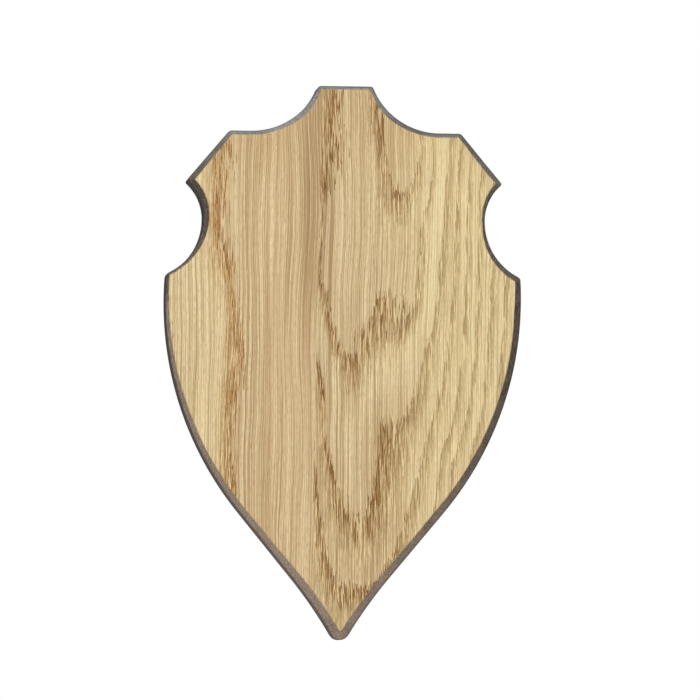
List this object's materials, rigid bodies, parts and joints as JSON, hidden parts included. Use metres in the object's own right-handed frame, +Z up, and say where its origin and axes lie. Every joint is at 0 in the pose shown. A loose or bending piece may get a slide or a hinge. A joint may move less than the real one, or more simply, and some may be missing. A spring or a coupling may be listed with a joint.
{
  "type": "wooden trophy shield",
  "caption": "Shield-shaped oak wall plaque of edge-glued staves with a dark-stained bevelled edge, hung by a swinging wire ring on its back.",
  "frame": {"origin": "where the wall hook carries the ring, on the centre line, in the plane of the wall that the felt discs touch", "axes": "+Z up, the front face looks along -Y, +Y into the wall, +X to the right as seen from the front"},
  "size_m": [0.1352, 0.0215, 0.21],
  "materials": {
    "oak": "light oak with a thin matt oil, the bevel and the edge stained dark grey-brown",
    "zinc_steel": "bright zinc plate",
    "ring_steel": "bright zinc-plated wire",
    "screw_steel": "zinc-plated screw",
    "felt": "pressed brown felt"
  },
  "bodies": {
    "plaque": {"stave_left": "oak", "stave_right": "oak", "hanger_strap": "zinc_steel", "hanger_screw": "screw_steel", "felt_disc_left": "felt", "felt_disc_right": "felt", "felt_disc_bottom": "felt"},
    "ring": {"hanger_ring": "ring_steel"}
  },
  "joints": [
    {"name": "ring_swing", "type": "hinge", "parent": "plaque", "child": "ring", "pos_m": [0, -0.00185, -0.0175], "axis": [1, 0, 0], "range_deg": [0, 180]}
  ]
}
